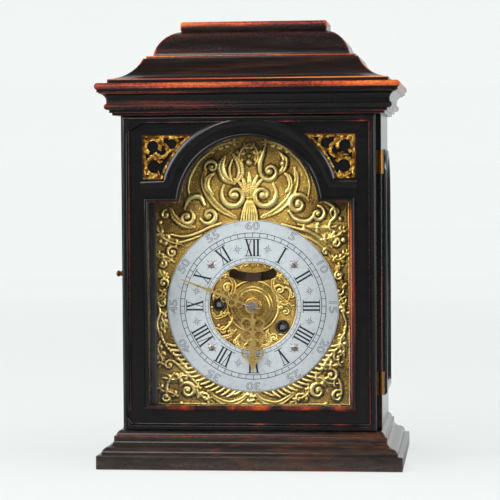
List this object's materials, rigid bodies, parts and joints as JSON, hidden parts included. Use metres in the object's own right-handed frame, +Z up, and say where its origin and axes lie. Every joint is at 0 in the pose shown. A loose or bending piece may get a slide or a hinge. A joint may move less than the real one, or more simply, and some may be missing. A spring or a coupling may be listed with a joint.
{
  "type": "bracket clock",
  "caption": "Spring-driven table clock in an ebonised arched-door case with stepped caddy top, repousse brass dial, silvered chapter ring, striking verge movement",
  "frame": {"origin": "middle of the base, on the surface that the clock stands on", "axes": "+X to the right seen from the front, +Y to the back, +Z up; the dial faces -Y"},
  "size_m": [0.29, 0.2, 0.427],
  "materials": {
    "ebonised_wood": "black polish over pear and fruitwood, worn to red and brown on the edges",
    "case_lining": "plain stained wood inside the case",
    "glass": "thin old window glass",
    "gilt_brass": "repousse brass with worn gilding",
    "fret_brass": "pierced brass, toned",
    "silvered_ring": "silvered brass, matt, with black wax figures",
    "cloth": "black silk behind the frets",
    "hand_brass": "cut and filed brass",
    "steel": "polished clock steel",
    "movement_brass": "clean clock brass",
    "bell_metal": "turned bell metal"
  },
  "bodies": {
    "case": {"base_board": "ebonised_wood", "door_sill": "ebonised_wood", "rear_rail": "ebonised_wood", "plinth_moulding": "ebonised_wood", "side_panel_left": "ebonised_wood", "side_panel_right": "ebonised_wood", "side_glass": "glass", "side_mouldings": "ebonised_wood", "top_board": "ebonised_wood", "cornice_moulding": "ebonised_wood", "caddy_lower": "ebonised_wood", "caddy_upper": "ebonised_wood", "caddy_cap": "ebonised_wood", "dial_mask": "case_lining", "dial_plate": "gilt_brass", "chapter_ring": "silvered_ring", "chapter_ring_screws": "steel", "dial_boss": "gilt_brass", "dial_feet": "movement_brass", "front_plate": "movement_brass", "back_plate": "movement_brass", "movement_pillars": "movement_brass", "seat_board": "case_lining", "seat_cleats": "case_lining", "potence": "movement_brass", "verge_cocks": "movement_brass", "bell": "bell_metal", "bell_stand": "steel", "hinge_case_leaves": "hand_brass"},
    "front_door": {"door_frame": "ebonised_wood", "door_edge_moulding": "ebonised_wood", "door_sight_moulding": "ebonised_wood", "door_glass": "glass", "glass_beads": "ebonised_wood", "spandrel_cloth": "cloth", "spandrel_frets": "fret_brass", "front_hinge_door_leaves": "hand_brass"},
    "rear_door": {"rear_door_frame": "ebonised_wood", "rear_glass": "glass", "rear_hinge_door_leaves": "hand_brass"},
    "latch": {"rear_latch": "hand_brass"},
    "catch": {"door_catch": "hand_brass"},
    "minute_body": {"minute_hand": "hand_brass", "hand_collet": "steel", "cannon_wheel": "movement_brass"},
    "hour_body": {"hour_hand": "hand_brass", "hour_wheel": "movement_brass"},
    "minute_wheel_body": {"minute_wheel": "movement_brass"},
    "going_barrel_body": {"going_barrel": "movement_brass"},
    "centre_body": {"centre_arbor": "movement_brass"},
    "contrate_body": {"contrate_wheel": "movement_brass"},
    "crown_body": {"crown_wheel": "movement_brass"},
    "pendulum": {"verge_staff_and_rod": "steel", "pendulum_bob": "movement_brass"},
    "going_winder_body": {"going_winder": "steel"},
    "strike_winder_body": {"strike_winder": "steel"},
    "strike_barrel_body": {"strike_barrel": "movement_brass"},
    "pin_wheel_body": {"pin_wheel": "movement_brass"},
    "fly_body": {"fly": "movement_brass"},
    "hammer_body": {"hammer": "steel"}
  },
  "joints": [
    {"name": "front_door_hinge", "type": "hinge", "parent": "case", "child": "front_door", "pos_m": [0.124, -0.06225, 0.18], "axis": [0, 0, 1], "range_deg": [0, 165]},
    {"name": "catch_turn", "type": "hinge", "parent": "case", "child": "catch", "pos_m": [-0.1245, -0.05, 0.184], "axis": [1, 0, 0], "range_deg": [0, 90]},
    {"name": "rear_door_hinge", "type": "hinge", "parent": "case", "child": "rear_door", "pos_m": [0.112, 0.08175, 0.19], "axis": [0, 0, -1], "range_deg": [0, 110]},
    {"name": "rear_latch_turn", "type": "hinge", "parent": "rear_door", "child": "latch", "pos_m": [-0.1015, 0.0795, 0.19], "axis": [0, 1, 0], "range_deg": [0, 90]},
    {"name": "minute_turn", "type": "hinge", "parent": "case", "child": "minute_body", "pos_m": [0, 0, 0.1522], "axis": [0, 1, 0], "continuous": true},
    {"name": "hour_turn", "type": "hinge", "parent": "case", "child": "hour_body", "pos_m": [0, 0, 0.1522], "axis": [0, 1, 0], "continuous": true},
    {"name": "minute_wheel_turn", "type": "hinge", "parent": "case", "child": "minute_wheel_body", "pos_m": [0, 0, 0.1282], "axis": [0, 1, 0], "continuous": true},
    {"name": "going_barrel_turn", "type": "hinge", "parent": "case", "child": "going_barrel_body", "pos_m": [0.0284, 0, 0.132], "axis": [0, 1, 0], "continuous": true},
    {"name": "centre_turn", "type": "hinge", "parent": "case", "child": "centre_body", "pos_m": [0, 0, 0.1522], "axis": [0, 1, 0], "continuous": true},
    {"name": "contrate_turn", "type": "hinge", "parent": "case", "child": "contrate_body", "pos_m": [0, 0, 0.1743], "axis": [0, 1, 0], "continuous": true},
    {"name": "crown_turn", "type": "hinge", "parent": "case", "child": "crown_body", "pos_m": [0, 0.0052, 0.215], "axis": [0, 0, 1], "continuous": true},
    {"name": "pendulum_swing", "type": "hinge", "parent": "case", "child": "pendulum", "pos_m": [0, 0.031, 0.235], "axis": [0, 1, 0], "range_deg": [-9, 9]},
    {"name": "going_wind", "type": "hinge", "parent": "case", "child": "going_winder_body", "pos_m": [0.0284, 0, 0.132], "axis": [0, 1, 0], "continuous": true},
    {"name": "strike_wind", "type": "hinge", "parent": "case", "child": "strike_winder_body", "pos_m": [-0.0328, 0, 0.1538], "axis": [0, 1, 0], "continuous": true},
    {"name": "strike_barrel_turn", "type": "hinge", "parent": "case", "child": "strike_barrel_body", "pos_m": [-0.0328, 0, 0.1538], "axis": [0, 1, 0], "continuous": true},
    {"name": "pin_wheel_turn", "type": "hinge", "parent": "case", "child": "pin_wheel_body", "pos_m": [-0.02581, 0, 0.17988], "axis": [0, 1, 0], "continuous": true},
    {"name": "fly_turn", "type": "hinge", "parent": "case", "child": "fly_body", "pos_m": [-0.02863, 0, 0.19583], "axis": [0, 1, 0], "continuous": true},
    {"name": "hammer_lift", "type": "hinge", "parent": "case", "child": "hammer_body", "pos_m": [-0.05, 0, 0.1882], "axis": [0, -1, 0], "range_deg": [0, 9], "stiffness_Nm_per_rad": 0.05, "springref_deg": -11.46}
  ],
  "couplings": [
    {"joint": "hour_turn", "follows": "minute_turn", "ratio": 0.083333},
    {"joint": "minute_wheel_turn", "follows": "minute_turn", "ratio": -1},
    {"joint": "going_barrel_turn", "follows": "crown_turn", "ratio": 0.002778},
    {"joint": "centre_turn", "follows": "crown_turn", "ratio": -0.022222},
    {"joint": "contrate_turn", "follows": "crown_turn", "ratio": 0.16667},
    {"joint": "strike_barrel_turn", "follows": "fly_turn", "ratio": 0.019231},
    {"joint": "pin_wheel_turn", "follows": "fly_turn", "ratio": -0.125}
  ]
}
